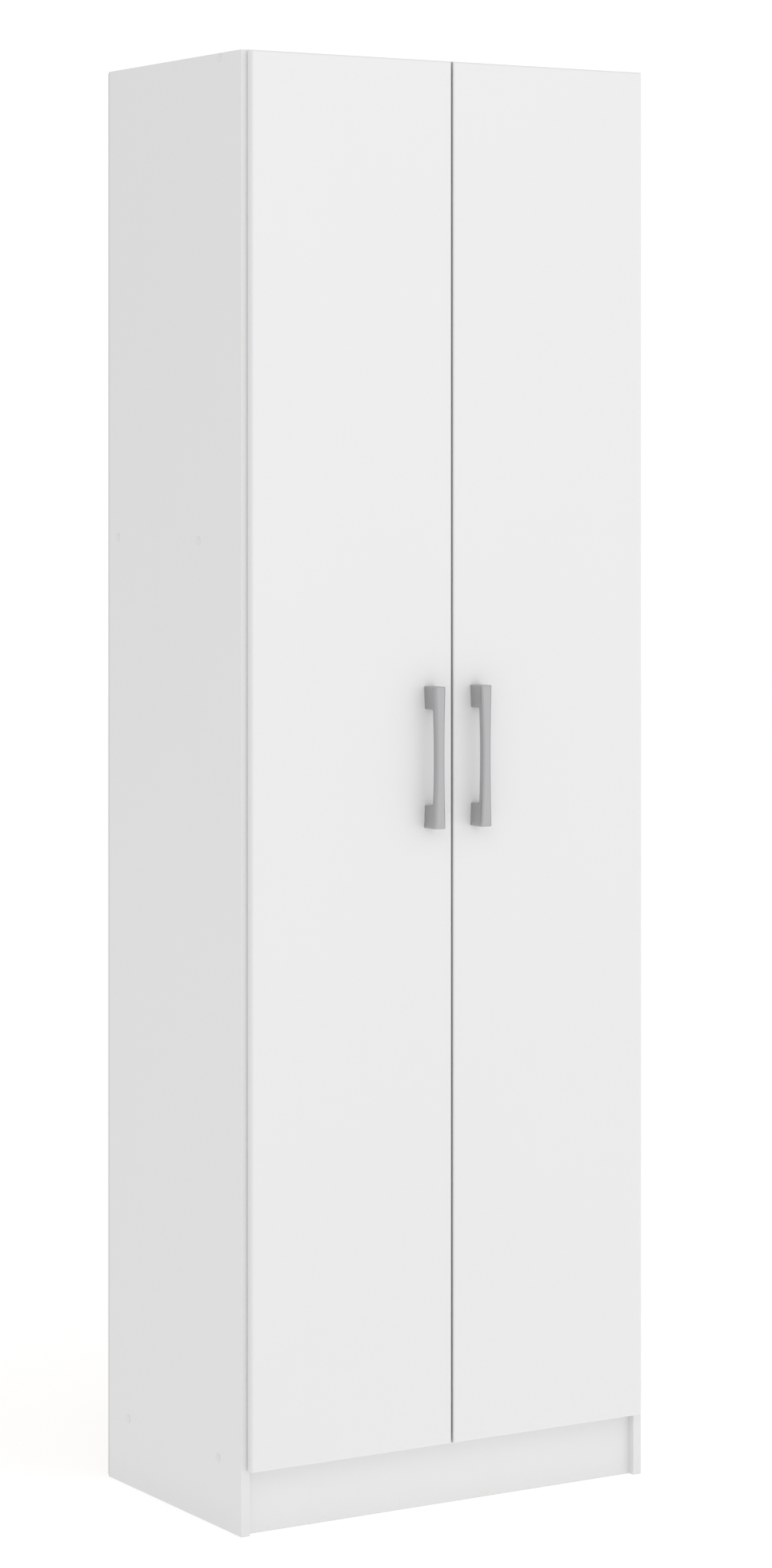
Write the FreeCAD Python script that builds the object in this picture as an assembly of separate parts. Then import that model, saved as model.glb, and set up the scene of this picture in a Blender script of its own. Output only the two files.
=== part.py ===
import FreeCAD, Part
import math
import os

# Pantry cabinet with two full-height doors, flat-packed from thin white board.
# Millimetres. X is centred, Y = 0 is half way from the handle fronts to the back, and Z = 0 is the floor.
# The front looks along -Y. The left half is drawn, and the right half is its mirror image.

WIDTH = 590.0
HEIGHT = 1800.0
BOARD = 12.0
SIDE_DEPTH = 345.0
BACK_THICK = 3.0
FRONT = -154.0                  # plane of the side panels' front edges
EDGE_ROUND = 0.5

DOOR_INSET = 8.0                # side panel edge left bare beside each door
DOOR_GAP = 3.0                  # between the two doors
DOOR_CLEAR = 1.0                # between a door and the carcass
DOOR_BOTTOM = 79.0
DOOR_TOP = 1799.0
DOOR_ROUND = 2.5

BOTTOM_Z = 78.0
FIXED_SHELF_Z = 1197.0
PLINTH_RECESS = 9.5
SHELF_SETBACK = 55.0
SHELF_PLAY = 1.0
SHELF_REAR_PLAY = 3.0
LOOSE_SHELF_Z = {"lower": 460.0, "middle": 830.0, "upper": 1500.0}

PIN_ROWS = (95.0, 300.0)        # distances behind the front edges
PIN_PITCH = 32.0
PIN_RADIUS = 2.5
PIN_DEPTH = 8.0
PIN_TONGUE = 8.0

HINGE_HEIGHTS = (180.0, 935.0, 1690.0)
CUP_CENTRE = 23.5               # from the side panel's outer face
CUP_RADIUS = 13.0
CUP_DEPTH = 9.0
CUP_WALL = 0.6
CUP_PLAY = 0.05
CUP_RIM = 1.2                   # how far the flange reaches past the cup
CUP_PIN_HALF = 12.0
FLANGE_THICK = 0.5
FLANGE_EAR = 5.5
CUP_NOTCH = (-20.0, -9.0)       # where the link crosses the flange, from the cup's middle
CUP_SCREW_RISE = 19.0
DOOR_PIVOT = (13.6, -5.7)       # in from the outer face, back from the front plane
LINK_PATH = ((0.0, 0.0), (4.6, -2.0), (7.0, 0.6), (9.0, 4.4), (11.7, 9.4), (14.5, 14.0))
LINK_THICK = 2.0
LINK_WIDTH = 8.0
PIVOT_PIN_RADIUS = 1.0
PIVOT_PLAY = 0.05
PIN_HEAD_RADIUS = 1.6
PIN_HEAD = 0.5
CUP_EYE = 1.7                   # radius of the link's end in the cup
ARM_EYE = 2.2                   # and of its end in the arm
PLATE_THICK = 1.5
PLATE_HALF = 8.0
PLATE_SPAN = (22.0, 62.0)       # from and to, behind the front edge
PLATE_WING = 6.0
PLATE_SCREW_RISE = 16.0
PLATE_SCREW_BEHIND = 40.0
RIB_TOP = 25.3                  # where the arm rests, from the side panel's outer face
RIB_HALF = 4.8
RIB_START = 29.0
ARM_STEEL = 1.2
ARM_HALF = 6.2
ARM_SCREWS_BEHIND = (36.0, 54.0)
ARM_OUTLINE = ((24.5, 4.6), (32.8, 4.6), (32.8, 16.0), (26.5, 27.0), (26.5, 64.0), (17.5, 64.0),
               (17.5, 24.0), (24.5, 14.0))
ARM_HOLLOW = ((10.0, -5.0), (31.6, -5.0), (31.6, 15.66), (RIB_TOP, 26.66), (RIB_TOP, 70.0), (10.0, 70.0))

HANDLE_OFFSET = 34.0            # from the cabinet's centre line
HANDLE_MID_Z = 934.75
HANDLE_HEIGHT = 175.5
HANDLE_POST = 28.0
HANDLE_PROJECTION = 27.0
HANDLE_BAR = 8.0
HANDLE_BOW = 1.0
HANDLE_END_WIDTH = 16.5
HANDLE_MID_WIDTH = 12.5
HANDLE_HOLES = 160.0
HANDLE_CROOK = 3.0
HANDLE_EDGE = 0.8

BUMPER_RADIUS = 4.0
BUMPER_THICK = 0.7
BUMPER_IN = 12.0                # from the door's free edge
BUMPER_NUDGE = 0.6              # off the middle of the board that it meets

# Assembly screws through a side panel: (distance behind the front edge, height)
SIDE_SCREWS = ((54.0, 1794.0), (108.0, 1203.0), (320.0, 1203.0), (58.0, 84.0), (292.0, 84.0))
SIDE_DOWELS = ((170.0, 1794.0), (292.0, 1794.0), (214.0, 1203.0), (175.0, 84.0), (15.5, 22.0), (15.5, 56.0))

WALL_FIXING_X = 200.0
WALL_FIXING_Z = 1768.0
WALL_FIXING_RADIUS = 2.75
BRACKET_THICK = 1.5
BRACKET_WIDTH = 30.0
BRACKET_LEG = 30.0
BRACKET_SCREW_IN = 20.0

PLINTH_BLOCK_X = (-180.0, 0.0, 180.0)
PLINTH_BLOCK = 20.0
PLINTH_BLOCK_CHAMFER = 5.0
PLINTH_BLOCK_OFFSET = 4.5       # its two screws stand either side of its middle
PLINTH_BLOCK_IN = 7.0
PLINTH_BLOCK_GRIP = 8.0         # how deep its screws go into the boards

SCREW_HEAD = 5.0
SCREW_SHANK = 3.5
SCREW_THREAD = 3.0
SCREW_LENGTH = 46.0
SCREW_TIP = 4.0
SOCKET_RADIUS = 2.0
SOCKET_DEPTH = 2.5
CAP_RADIUS = 5.5
CAP_THICK = 0.5
CAP_ROUND = 0.3
CAP_PEG = 2.3
DOWEL_RADIUS = 3.0
DOWEL_LENGTH = 24.0
DOWEL_IN_SIDE = 7.0
PAN_HEAD_RADIUS = 3.5
PAN_HEAD = 1.8
WOOD_SCREW_RADIUS = 1.75
WOOD_SCREW_BITE = 9.0           # how deep a short screw goes into a board
DRIVE_RADIUS = 0.9
NAIL_RADIUS = 0.7
NAIL_LENGTH = 16.0
NAIL_HEAD_RADIUS = 2.0
NAIL_HEAD = 0.8
NAIL_END = 30.0                 # from the floor and the top to the nearest nail
NAILS_UP_A_SIDE = 13
NAILS_ACROSS = (-140.0, 0.0, 140.0)
NAIL_FROM_JOINT = 3.0

BACK_MARGIN = 1.0
BACK_END_MARGIN = 2.0
BACK_JOINT = 0.5
WALL_HOLE_RADIUS = 3.5
PIN_COLLAR_RADIUS = 3.6
PIN_COLLAR = 0.8
PIN_TONGUE_HALF = 4.0
PIN_TONGUE_THICK = 1.6
PIN_END_PLAY = 0.5

HALF = WIDTH / 2
REAR = FRONT + SIDE_DEPTH
BACK_REAR = REAR + BACK_THICK
INNER = HALF - BOARD
DOOR_BACK = FRONT - DOOR_CLEAR
DOOR_FRONT = DOOR_BACK - BOARD
OVER = 1.0                      # how far a cutting tool runs past a face
TINY = 1e-4                     # two coordinates this near are the same

V = FreeCAD.Vector
X_AXIS = V(1, 0, 0)
Y_AXIS = V(0, 1, 0)
Z_AXIS = V(0, 0, 1)


def box(x0, x1, y0, y1, z0, z1):
    """A block between two corners."""
    return Part.makeBox(x1 - x0, y1 - y0, z1 - z0, V(x0, y0, z0))


def rod(radius, start, direction, length):
    """A round rod from a point along a direction."""
    return Part.makeCylinder(radius, length, V(*start), direction)


def join(shapes):
    """One solid from shapes that touch or overlap."""
    return shapes[0].fuse(list(shapes[1:])).removeSplitter()


def group(shapes):
    """Separate solids kept together as one node."""
    return Part.makeCompound(list(shapes))


def mirrored(shape):
    """The same piece for the other side of the cabinet."""
    return shape.mirror(V(0, 0, 0), X_AXIS)


def both_sides(shapes):
    """The pieces of the left side and their mirror images."""
    return list(shapes) + [mirrored(shape) for shape in shapes]


def edges_in_plane(shape, axis, value):
    """The edges that lie in the plane where one coordinate has a value."""
    found = []
    for edge in shape.Edges:
        low, high = getattr(edge.BoundBox, axis + "Min"), getattr(edge.BoundBox, axis + "Max")
        if abs(low - value) < TINY and abs(high - value) < TINY:
            found.append(edge)
    return found


def softened(shape, axis, value, radius):
    """The shape with the edges of one flat face rounded."""
    return shape.makeFillet(radius, edges_in_plane(shape, axis, value))


def prism(points, z0, z1):
    """An upright prism over an outline of (x, y) points."""
    corners = [V(x, y, z0) for x, y in points]
    return Part.Face(Part.makePolygon(corners + corners[:1])).extrude(V(0, 0, z1 - z0))


def hinge_point(inward, behind):
    """A place near the left side panel, as an (x, y) pair."""
    return (-HALF + inward, FRONT + behind)


def save(name, shape):
    """Writes one node."""
    shape.exportStep("parts/" + name + ".step")


# ---- assembly hardware -------------------------------------------------------------------------

def assembly_screw(behind, height, socket=True):
    """A one-piece furniture screw through the left side panel into the end of a board."""
    start = V(-HALF, FRONT + behind, height)
    head = Part.makeCone(SCREW_HEAD, SCREW_SHANK, SCREW_THREAD, start, X_AXIS)
    shank = rod(SCREW_SHANK, start, X_AXIS, BOARD)
    thread = rod(SCREW_THREAD, start, X_AXIS, SCREW_LENGTH)
    tip = Part.makeCone(SCREW_THREAD, 1.0, SCREW_TIP, start + X_AXIS * SCREW_LENGTH, X_AXIS)
    screw = join([thread, shank, head, tip])
    if socket:
        screw = screw.cut(rod(SOCKET_RADIUS, start - X_AXIS * OVER, X_AXIS, SOCKET_DEPTH + OVER))
    return screw


def cover_cap(behind, height):
    """A thin disc with a peg that plugs the screw's socket."""
    start = V(-HALF, FRONT + behind, height)
    disc = rod(CAP_RADIUS, start - X_AXIS * CAP_THICK, X_AXIS, CAP_THICK)
    disc = softened(disc, "X", -HALF - CAP_THICK, CAP_ROUND)
    return join([disc, rod(SOCKET_RADIUS, start, X_AXIS, CAP_PEG)])


def dowel(behind, height):
    """A beech dowel between the left side panel and the end of a board."""
    return rod(DOWEL_RADIUS, (-INNER - DOWEL_IN_SIDE, FRONT + behind, height), X_AXIS, DOWEL_LENGTH)


def wood_screw(start, direction, length, head_radius=PAN_HEAD_RADIUS, head=PAN_HEAD,
               radius=WOOD_SCREW_RADIUS):
    """A pan-head screw whose head stands on the surface at its start."""
    place = V(*start)
    crown = place - direction * head
    disc = Part.makeCylinder(head_radius, head, crown, direction)
    rim = [edge for edge in disc.Edges if edge.BoundBox.Center.distanceToPoint(crown) < TINY]
    disc = disc.makeFillet(head * 0.45, rim)
    drive = Part.makeCylinder(DRIVE_RADIUS, head * 0.6, crown, direction)
    return join([disc, Part.makeCylinder(radius, length, place, direction)]).cut(drive)


def nail_places():
    """Where the back panels are nailed, as (x, z) pairs on the rear face."""
    places = []
    spacing = (HEIGHT - 2 * NAIL_END) / (NAILS_UP_A_SIDE - 1)
    for side in (-1, 1):
        for step in range(NAILS_UP_A_SIDE):
            places.append((side * (HALF - BOARD / 2), NAIL_END + spacing * step))
    joint = FIXED_SHELF_Z + BOARD / 2
    heights = (HEIGHT - BOARD / 2, joint + NAIL_FROM_JOINT, joint - NAIL_FROM_JOINT, BOTTOM_Z + BOARD / 2)
    places += [(x, height) for height in heights for x in NAILS_ACROSS]
    return places


def nail(x, z):
    """A panel nail, driven flush with the rear face."""
    inwards = Y_AXIS * -1
    head = Part.makeCone(NAIL_HEAD_RADIUS, NAIL_RADIUS, NAIL_HEAD, V(x, BACK_REAR, z), inwards)
    return join([rod(NAIL_RADIUS, (x, BACK_REAR, z), inwards, NAIL_LENGTH), head])


# ---- boards ------------------------------------------------------------------------------------

def pin_levels():
    """Every height that has a shelf-pin hole: three for each loose shelf."""
    return [z + step * PIN_PITCH - PIN_RADIUS for z in LOOSE_SHELF_Z.values() for step in (-1, 0, 1)]


def side_panel():
    """The left side panel, drilled for screws, dowels, shelf pins and hinge plates."""
    panel = box(-HALF, -INNER, FRONT, REAR, 0, HEIGHT)
    panel = panel.makeFillet(EDGE_ROUND, edges_in_plane(panel, "X", -HALF))
    tools = [assembly_screw(behind, height, socket=False) for behind, height in SIDE_SCREWS]
    tools += [dowel(behind, height) for behind, height in SIDE_DOWELS]
    for height in pin_levels():
        for row in PIN_ROWS:
            start = (-INNER + OVER, FRONT + row, height)
            tools.append(rod(PIN_RADIUS, start, X_AXIS * -1, PIN_DEPTH + OVER))
    tools += plate_screws()
    return panel.cut(tools)


def cross_board(z, front=FRONT, rear=REAR):
    """A board between the side panels, drilled at its ends."""
    board = box(-INNER, INNER, front, rear, z, z + BOARD)
    tools = [assembly_screw(behind, height, socket=False) for behind, height in SIDE_SCREWS]
    tools += [dowel(behind, height) for behind, height in SIDE_DOWELS]
    return board.cut(both_sides(tools))


def top_panel():
    return cross_board(HEIGHT - BOARD).cut(wall_bracket_screws())


def bottom_panel():
    return cross_board(BOTTOM_Z).cut(plinth_block_screws())


def fixed_shelf():
    return cross_board(FIXED_SHELF_Z, FRONT + SHELF_SETBACK)


def loose_shelf(z):
    """A shelf that rests on four pins and lifts out."""
    front = FRONT + SHELF_SETBACK
    half = INNER - SHELF_PLAY
    shelf = box(-half, half, front, REAR - SHELF_REAR_PLAY, z, z + BOARD)
    return softened(shelf, "Y", front, EDGE_ROUND)


def plinth_board():
    """The recessed board under the doors."""
    front = FRONT + PLINTH_RECESS
    board = box(-INNER, INNER, front, front + BOARD, 0, BOTTOM_Z)
    dowels = [dowel(behind, height) for behind, height in SIDE_DOWELS]
    return board.cut(both_sides(dowels) + plinth_block_screws())


def back_panel(z0, z1):
    """A hardboard sheet nailed on the rear edges."""
    half = HALF - BACK_MARGIN
    sheet = box(-half, half, REAR, BACK_REAR, z0, z1)
    nails = [nail(x, z) for x, z in nail_places() if z0 < z < z1]
    return sheet.cut(nails)


def upper_back_panel():
    """The upper sheet, with two holes for the wall screws."""
    sheet = back_panel(FIXED_SHELF_Z + (BOARD + BACK_JOINT) / 2, HEIGHT - BACK_END_MARGIN)
    holes = [rod(WALL_HOLE_RADIUS, (x, REAR - OVER, WALL_FIXING_Z), Y_AXIS, BACK_THICK + 2 * OVER)
             for x in (-WALL_FIXING_X, WALL_FIXING_X)]
    return sheet.cut(holes)


def lower_back_panel():
    return back_panel(BACK_END_MARGIN, FIXED_SHELF_Z + (BOARD - BACK_JOINT) / 2)


# ---- small fittings ----------------------------------------------------------------------------

def shelf_pins(z):
    """Four steel spoon pins, each with a round peg and a flat tongue under the shelf."""
    pins = []
    tail = -INNER - PIN_DEPTH + PIN_END_PLAY
    tip = -INNER + PIN_TONGUE
    for row in PIN_ROWS:
        y = FRONT + row
        peg = rod(PIN_RADIUS, (tail, y, z - PIN_RADIUS), X_AXIS, tip - tail)
        collar = rod(PIN_COLLAR_RADIUS, (-INNER, y, z - PIN_COLLAR_RADIUS), X_AXIS, PIN_COLLAR)
        tongue = box(-INNER, tip, y - PIN_TONGUE_HALF, y + PIN_TONGUE_HALF, z - PIN_TONGUE_THICK, z)
        below_shelf = box(-HALF, 0, y - BOARD, y + BOARD, z - BOARD, z)
        pins.append(join([peg, collar, tongue]).common(below_shelf))
    return both_sides(pins)


def plinth_block(x):
    """A plastic corner block behind the plinth, under the bottom panel."""
    front = FRONT + PLINTH_RECESS + BOARD
    rear = front + PLINTH_BLOCK
    foot = BOTTOM_Z - PLINTH_BLOCK
    half = PLINTH_BLOCK / 2
    block = box(x - half, x + half, front, rear, foot, BOTTOM_Z)
    ridge = [edge for edge in edges_in_plane(block, "Y", rear) if abs(edge.BoundBox.ZMax - foot) < TINY]
    return block.makeChamfer(PLINTH_BLOCK_CHAMFER, ridge).cut(plinth_block_screws())


def plinth_block_screws():
    """One screw up into the bottom panel and one forward into the plinth, for each block."""
    front = FRONT + PLINTH_RECESS + BOARD
    length = PLINTH_BLOCK + PLINTH_BLOCK_GRIP
    screws = []
    for x in PLINTH_BLOCK_X:
        upward = (x - PLINTH_BLOCK_OFFSET, front + PLINTH_BLOCK_IN, BOTTOM_Z - PLINTH_BLOCK)
        forward = (x + PLINTH_BLOCK_OFFSET, front + PLINTH_BLOCK, BOTTOM_Z - PLINTH_BLOCK_IN)
        screws.append(wood_screw(upward, Z_AXIS, length))
        screws.append(wood_screw(forward, Y_AXIS * -1, length))
    return screws


def wall_bracket(x):
    """An angle bracket under the top panel, drilled for a wall screw."""
    half = BRACKET_WIDTH / 2
    top = HEIGHT - BOARD
    upright = box(x - half, x + half, REAR - BRACKET_THICK, REAR, top - BRACKET_LEG, top)
    flat = box(x - half, x + half, REAR - BRACKET_LEG, REAR, top - BRACKET_THICK, top)
    bracket = join([upright, flat])
    hole = rod(WALL_FIXING_RADIUS, (x, REAR - BRACKET_LEG, WALL_FIXING_Z), Y_AXIS, BRACKET_LEG + OVER)
    return bracket.cut([hole] + wall_bracket_screws())


def wall_bracket_screws():
    """One screw up into the top panel for each bracket."""
    top = HEIGHT - BOARD
    z = top - BRACKET_THICK
    return [wood_screw((x, REAR - BRACKET_SCREW_IN, z), Z_AXIS, BRACKET_THICK + WOOD_SCREW_BITE)
            for x in (-WALL_FIXING_X, WALL_FIXING_X)]


# ---- hinges, drawn at the left side panel ------------------------------------------------------

def plate_screws():
    """Two screws for each hinge plate, into the side panel."""
    x, y = hinge_point(BOARD + PLATE_THICK, PLATE_SCREW_BEHIND)
    return [wood_screw((x, y, z + rise), X_AXIS * -1, PLATE_THICK + WOOD_SCREW_BITE)
            for z in HINGE_HEIGHTS for rise in (-PLATE_SCREW_RISE, PLATE_SCREW_RISE)]


def hinge_plate(z):
    """The winged base plate with the rib that the arm slides on."""
    x0, y0 = hinge_point(BOARD, PLATE_SPAN[0])
    x1, y1 = hinge_point(BOARD + PLATE_THICK, PLATE_SPAN[1])
    wing_y = FRONT + PLATE_SCREW_BEHIND
    base = box(x0, x1, y0, y1, z - PLATE_HALF, z + PLATE_HALF)
    wing = box(x0, x1, wing_y - PLATE_WING, wing_y + PLATE_WING, z - PLATE_SCREW_RISE, z + PLATE_SCREW_RISE)
    ends = [rod(PLATE_WING, (x0, wing_y, z + rise), X_AXIS, PLATE_THICK)
            for rise in (-PLATE_SCREW_RISE, PLATE_SCREW_RISE)]
    rib = box(x0, -HALF + RIB_TOP, FRONT + RIB_START, y1, z - RIB_HALF, z + RIB_HALF)
    return join([base, wing, rib] + ends).cut(plate_screws() + arm_screws())


def hinge_arm(z):
    """The cranked channel that carries the link's pin."""
    outline = [hinge_point(*corner) for corner in ARM_OUTLINE]
    hollow = [hinge_point(*corner) for corner in ARM_HOLLOW]
    inner_half = ARM_HALF - ARM_STEEL
    arm = prism(outline, z - ARM_HALF, z + ARM_HALF)
    arm = arm.cut(prism(hollow, z - inner_half, z + inner_half))
    return arm.cut(arm_screws() + [arm_pin(z)])


def arm_screws():
    """The screw that clamps each arm to its plate, and the one that adjusts its side play."""
    x = -HALF + RIB_TOP + ARM_STEEL
    return [wood_screw((x, FRONT + behind, z), X_AXIS * -1, WOOD_SCREW_BITE, head_radius=3.2, radius=2.0)
            for z in HINGE_HEIGHTS for behind in ARM_SCREWS_BEHIND]


def link_joint(index):
    """A corner of the link's path, as an (x, y) pair in the cabinet."""
    inward, behind = LINK_PATH[index]
    return hinge_point(DOOR_PIVOT[0] + inward, DOOR_PIVOT[1] + behind)


def arm_pin(z):
    """The riveted pin through the arm and the link."""
    x, y = link_joint(-1)
    pin = rod(PIVOT_PIN_RADIUS, (x, y, z - ARM_HALF), Z_AXIS, 2 * ARM_HALF)
    heads = [rod(PIN_HEAD_RADIUS, (x, y, foot), Z_AXIS, PIN_HEAD)
             for foot in (z - ARM_HALF - PIN_HEAD, z + ARM_HALF)]
    return join([pin] + heads)


def hinge_link(z):
    """The goose-necked link between the arm's pin and the cup's pin."""
    low = z - LINK_WIDTH / 2
    solids = []
    for index in range(len(LINK_PATH) - 1):
        start = V(*link_joint(index), low)
        run = V(*link_joint(index + 1), low) - start
        web = Part.makeBox(run.Length, LINK_THICK, LINK_WIDTH, V(0, -LINK_THICK / 2, 0))
        web.rotate(V(0, 0, 0), Z_AXIS, math.degrees(math.atan2(run.y, run.x)))
        web.translate(start)
        solids += [web, rod(LINK_THICK / 2, start, Z_AXIS, LINK_WIDTH)]
    ends = ((link_joint(0), CUP_EYE), (link_joint(-1), ARM_EYE))
    solids += [rod(radius, (x, y, low), Z_AXIS, LINK_WIDTH) for (x, y), radius in ends]
    bores = [rod(PIVOT_PIN_RADIUS + PIVOT_PLAY, (x, y, low - OVER), Z_AXIS, LINK_WIDTH + 2 * OVER)
             for (x, y), _ in ends]
    return join(solids).cut(bores)


def cup_pin(z):
    """The pin across the cup, trimmed to the cup's round wall."""
    x, y = link_joint(0)
    cup_x, _ = hinge_point(CUP_CENTRE, 0.0)
    pin = rod(PIVOT_PIN_RADIUS, (x, y, z - CUP_PIN_HALF), Z_AXIS, 2 * CUP_PIN_HALF)
    return pin.common(rod(CUP_RADIUS - 0.1, (cup_x, DOOR_FRONT, z), Y_AXIS, BOARD))


def hinge_cup(z):
    """The pressed bowl in the door and the flange that is screwed to the door's rear face."""
    x = -HALF + CUP_CENTRE
    rear = DOOR_BACK + FLANGE_THICK
    bottom = DOOR_BACK - CUP_DEPTH
    bowl = rod(CUP_RADIUS, (x, bottom, z), Y_AXIS, CUP_DEPTH)
    ring = rod(CUP_RADIUS + CUP_RIM, (x, DOOR_BACK, z), Y_AXIS, FLANGE_THICK)
    ears = box(x - FLANGE_EAR, x + FLANGE_EAR, DOOR_BACK, rear, z - CUP_SCREW_RISE, z + CUP_SCREW_RISE)
    tips = [rod(FLANGE_EAR, (x, DOOR_BACK, z + rise), Y_AXIS, FLANGE_THICK)
            for rise in (-CUP_SCREW_RISE, CUP_SCREW_RISE)]
    hollow = rod(CUP_RADIUS - CUP_WALL, (x, bottom + CUP_WALL, z), Y_AXIS, CUP_DEPTH + OVER)
    notch = box(x + CUP_NOTCH[0], x + CUP_NOTCH[1], DOOR_BACK, rear + OVER, z - FLANGE_EAR, z + FLANGE_EAR)
    return join([bowl, ring, ears] + tips).cut([hollow, notch, cup_pin(z)] + cup_screws())


def cup_screws():
    """Two screws for each cup, into the left door."""
    x = -HALF + CUP_CENTRE
    return [wood_screw((x, DOOR_BACK + FLANGE_THICK, z + rise), Y_AXIS * -1, WOOD_SCREW_BITE,
                       head_radius=3.0, head=1.2, radius=1.5)
            for z in HINGE_HEIGHTS for rise in (-CUP_SCREW_RISE, CUP_SCREW_RISE)]


# ---- doors -------------------------------------------------------------------------------------

def handle_screws():
    """Two machine screws from inside the left door into the handle's posts."""
    return [wood_screw((-HANDLE_OFFSET, DOOR_BACK, HANDLE_MID_Z + rise), Y_AXIS * -1, BOARD + 10.0,
                       head_radius=4.0, head=2.2, radius=2.0)
            for rise in (-HANDLE_HOLES / 2, HANDLE_HOLES / 2)]


def door_panel():
    """The left door with its rounded front, cup bores and handle holes."""
    panel = box(-HALF + DOOR_INSET, -DOOR_GAP / 2, DOOR_FRONT, DOOR_BACK, DOOR_BOTTOM, DOOR_TOP)
    panel = softened(panel, "Y", DOOR_FRONT, DOOR_ROUND)
    panel = softened(panel, "Y", DOOR_BACK, EDGE_ROUND)
    x = -HALF + CUP_CENTRE
    bores = [rod(CUP_RADIUS + CUP_PLAY, (x, DOOR_BACK - CUP_DEPTH, z), Y_AXIS, CUP_DEPTH + OVER)
             for z in HINGE_HEIGHTS]
    return panel.cut(bores + cup_screws() + handle_screws())


def handle_profile():
    """The handle seen from the side: two posts joined by a slightly bowed bar."""
    face = DOOR_FRONT
    low, high = HANDLE_MID_Z - HANDLE_HEIGHT / 2, HANDLE_MID_Z + HANDLE_HEIGHT / 2
    out_end, out_mid = face - HANDLE_PROJECTION + HANDLE_BOW, face - HANDLE_PROJECTION
    in_end, in_mid = out_end + HANDLE_BAR, out_mid + HANDLE_BAR
    low_in, high_in = low + HANDLE_POST, high - HANDLE_POST
    points = [V(0, face, low), V(0, out_end, low), V(0, out_end, high), V(0, face, high),
              V(0, face, high_in), V(0, in_end, high_in), V(0, in_end, low_in), V(0, face, low_in)]
    edges = [Part.LineSegment(points[0], points[1]).toShape(),
             Part.Arc(points[1], V(0, out_mid, HANDLE_MID_Z), points[2]).toShape(),
             Part.LineSegment(points[2], points[3]).toShape(),
             Part.LineSegment(points[3], points[4]).toShape(),
             Part.LineSegment(points[4], points[5]).toShape(),
             Part.Arc(points[5], V(0, in_mid, HANDLE_MID_Z), points[6]).toShape(),
             Part.LineSegment(points[6], points[7]).toShape(),
             Part.LineSegment(points[7], points[0]).toShape()]
    return Part.Face(Part.Wire(edges))


def handle_outline():
    """The handle seen from the front: wide at its ends and waisted at its middle."""
    low, high = HANDLE_MID_Z - HANDLE_HEIGHT / 2, HANDLE_MID_Z + HANDLE_HEIGHT / 2
    y = DOOR_FRONT - HANDLE_PROJECTION - OVER
    end, mid = HANDLE_END_WIDTH / 2, HANDLE_MID_WIDTH / 2
    edges = [Part.Arc(V(end, y, low), V(mid, y, HANDLE_MID_Z), V(end, y, high)).toShape(),
             Part.LineSegment(V(end, y, high), V(-end, y, high)).toShape(),
             Part.Arc(V(-end, y, high), V(-mid, y, HANDLE_MID_Z), V(-end, y, low)).toShape(),
             Part.LineSegment(V(-end, y, low), V(end, y, low)).toShape()]
    return Part.Face(Part.Wire(edges))


def handle():
    """The left door's handle, one bar with its posts tapped for the screws."""
    side = handle_profile().extrude(V(HANDLE_END_WIDTH, 0, 0))
    side.translate(V(-HANDLE_END_WIDTH / 2, 0, 0))
    front = handle_outline().extrude(V(0, HANDLE_PROJECTION + 2 * OVER, 0))
    bar = side.common(front)
    bar_end = DOOR_FRONT - HANDLE_PROJECTION + HANDLE_BOW
    crooks = [edge for edge in edges_in_plane(bar, "Y", bar_end + HANDLE_BAR)
              if abs(edge.BoundBox.ZMin - edge.BoundBox.ZMax) < TINY]
    bar = bar.makeFillet(HANDLE_CROOK, crooks)
    outer = [edge for edge in bar.Edges if edge.BoundBox.YMax < bar_end + TINY]
    bar = bar.makeFillet(HANDLE_EDGE, outer)
    bar.translate(V(-HANDLE_OFFSET, 0, 0))
    return bar.cut(handle_screws())


def door_bumpers():
    """Two soft pads near the left door's free edge."""
    x = -DOOR_GAP / 2 - BUMPER_IN
    heights = (BOTTOM_Z + BOARD / 2 + BUMPER_NUDGE, HEIGHT - BOARD / 2 - BUMPER_NUDGE)
    return [rod(BUMPER_RADIUS, (x, DOOR_BACK, z), Y_AXIS, BUMPER_THICK) for z in heights]


# ---- nodes -------------------------------------------------------------------------------------

def save_carcass():
    side = side_panel()
    save("left_side_panel", side)
    save("right_side_panel", mirrored(side))
    save("top_panel", top_panel())
    save("bottom_panel", bottom_panel())
    save("fixed_shelf", fixed_shelf())
    save("plinth_board", plinth_board())
    save("upper_back_panel", upper_back_panel())
    save("lower_back_panel", lower_back_panel())
    save("back_panel_nails", group([nail(x, z) for x, z in nail_places()]))
    save("assembly_screws", group(both_sides([assembly_screw(*place) for place in SIDE_SCREWS])))
    save("screw_cover_caps", group(both_sides([cover_cap(*place) for place in SIDE_SCREWS])))
    save("dowels", group(both_sides([dowel(*place) for place in SIDE_DOWELS])))


def save_fittings():
    for level, z in LOOSE_SHELF_Z.items():
        save(level + "_shelf", loose_shelf(z))
        save(level + "_shelf_pins", group(shelf_pins(z)))
    save("plinth_blocks", group([plinth_block(x) for x in PLINTH_BLOCK_X]))
    save("plinth_block_screws", group(plinth_block_screws()))
    save("wall_brackets", group([wall_bracket(x) for x in (-WALL_FIXING_X, WALL_FIXING_X)]))
    save("wall_bracket_screws", group(wall_bracket_screws()))


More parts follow.
